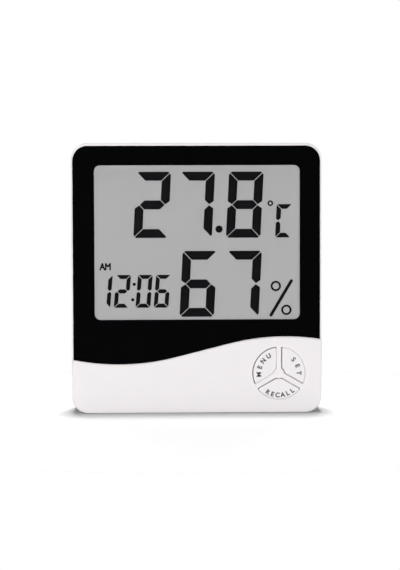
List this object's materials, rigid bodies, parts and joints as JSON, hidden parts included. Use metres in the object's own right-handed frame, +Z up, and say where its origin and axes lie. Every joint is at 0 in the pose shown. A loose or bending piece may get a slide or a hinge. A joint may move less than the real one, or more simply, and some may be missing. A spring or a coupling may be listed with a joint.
{
  "type": "thermometer hygrometer clock",
  "caption": "Upright rounded-square indoor thermometer, hygrometer and clock: large LCD behind a black panel, wavy white foot with sector buttons, fold-out stand, battery door, wall keyhole.",
  "frame": {"origin": "centre of the bounding box, at the base on which the case stands", "axes": "+Z up, the display faces -Y, +X to the right of a person who reads it"},
  "size_m": [0.1, 0.0228, 0.108],
  "materials": {
    "white_plastic": "satin",
    "clear_acrylic": "polished",
    "black_ink": "gloss print",
    "adhesive_tape": "matt",
    "black_foam": "matt",
    "polarizer_film": "satin",
    "lcd_glass": "polished",
    "edge_sealant": "cured resin",
    "liquid_crystal_ink": "dark lit segments",
    "reflector_film": "satin grey",
    "frame_plastic": "moulded",
    "zebra_rubber": "striped",
    "board_laminate": "solder resist",
    "black_resin": "cured drop",
    "zinc_steel": "zinc plated",
    "chip_ceramic": "matt",
    "grey_silicone": "moulded",
    "carbon_rubber": "matt",
    "nickel_steel": "nickel plated",
    "cell_can": "drawn can",
    "cell_sleeve": "shrunk sleeve",
    "buzzer_brass": "rolled",
    "buzzer_wafer": "silvered",
    "red_insulation": "extruded",
    "black_insulation": "extruded",
    "black_plastic": "moulded"
  },
  "bodies": {
    "case": {"battery_cell": "cell_can", "battery_sleeve": "cell_sleeve", "board_chips": "chip_ceramic", "board_screws": "zinc_steel", "buzzer_ceramic": "buzzer_wafer", "buzzer_disc": "buzzer_brass", "buzzer_wires": "black_insulation", "case_screws": "zinc_steel", "chip_blob": "black_resin", "circuit_board": "board_laminate", "clock_crystal": "zinc_steel", "display_lens": "clear_acrylic", "frame_screws": "zinc_steel", "front_case": "white_plastic", "humidity_sensor": "frame_plastic", "keypad": "grey_silicone", "lcd_frame": "frame_plastic", "lcd_front_glass": "lcd_glass", "lcd_front_polarizer": "polarizer_film", "lcd_gasket": "black_foam", "lcd_rear_glass": "lcd_glass", "lcd_reflector": "reflector_film", "lcd_seal": "edge_sealant", "lcd_segments": "liquid_crystal_ink", "lens_border_print": "black_ink", "lens_tape": "adhesive_tape", "negative_plate": "nickel_steel", "negative_spring": "nickel_steel", "negative_wire": "black_insulation", "positive_plate": "nickel_steel", "positive_wire": "red_insulation", "rear_case": "white_plastic", "reset_switch": "black_plastic", "thermistor": "black_resin", "unit_switch": "black_plastic", "zebra_strip": "zebra_rubber"},
    "stand": {"stand": "white_plastic"},
    "battery_door": {"battery_door": "white_plastic"},
    "menu_button": {"menu_button": "white_plastic", "menu_pill": "carbon_rubber"},
    "set_button": {"set_button": "white_plastic", "set_pill": "carbon_rubber"},
    "recall_button": {"recall_button": "white_plastic", "recall_pill": "carbon_rubber"},
    "unit_button": {"unit_button": "white_plastic", "unit_switch_plunger": "black_plastic"},
    "reset_plunger": {"reset_switch_plunger": "black_plastic"}
  },
  "joints": [
    {"name": "stand_hinge", "type": "hinge", "parent": "case", "child": "stand", "pos_m": [0, 0.00945, 0.0535], "axis": [1, 0, 0], "range_deg": [0, 30]},
    {"name": "battery_door_hinge", "type": "hinge", "parent": "case", "child": "battery_door", "pos_m": [-0.02645, 0.01095, 0.0676], "axis": [0, 0, 1], "range_deg": [0, 75]},
    {"name": "menu_button_press", "type": "slide", "parent": "case", "child": "menu_button", "axis": [0, 1, 0], "range_m": [0, 0.001], "stiffness_N_per_m": 800, "deforming": ["keypad"]},
    {"name": "set_button_press", "type": "slide", "parent": "case", "child": "set_button", "axis": [0, 1, 0], "range_m": [0, 0.001], "stiffness_N_per_m": 800, "deforming": ["keypad"]},
    {"name": "recall_button_press", "type": "slide", "parent": "case", "child": "recall_button", "axis": [0, 1, 0], "range_m": [0, 0.001], "stiffness_N_per_m": 800, "deforming": ["keypad"]},
    {"name": "unit_button_press", "type": "slide", "parent": "case", "child": "unit_button", "axis": [0, -1, 0], "range_m": [0, 0.00025], "stiffness_N_per_m": 6400},
    {"name": "reset_press", "type": "slide", "parent": "case", "child": "reset_plunger", "axis": [0, -1, 0], "range_m": [0, 0.00025], "stiffness_N_per_m": 6400}
  ]
}
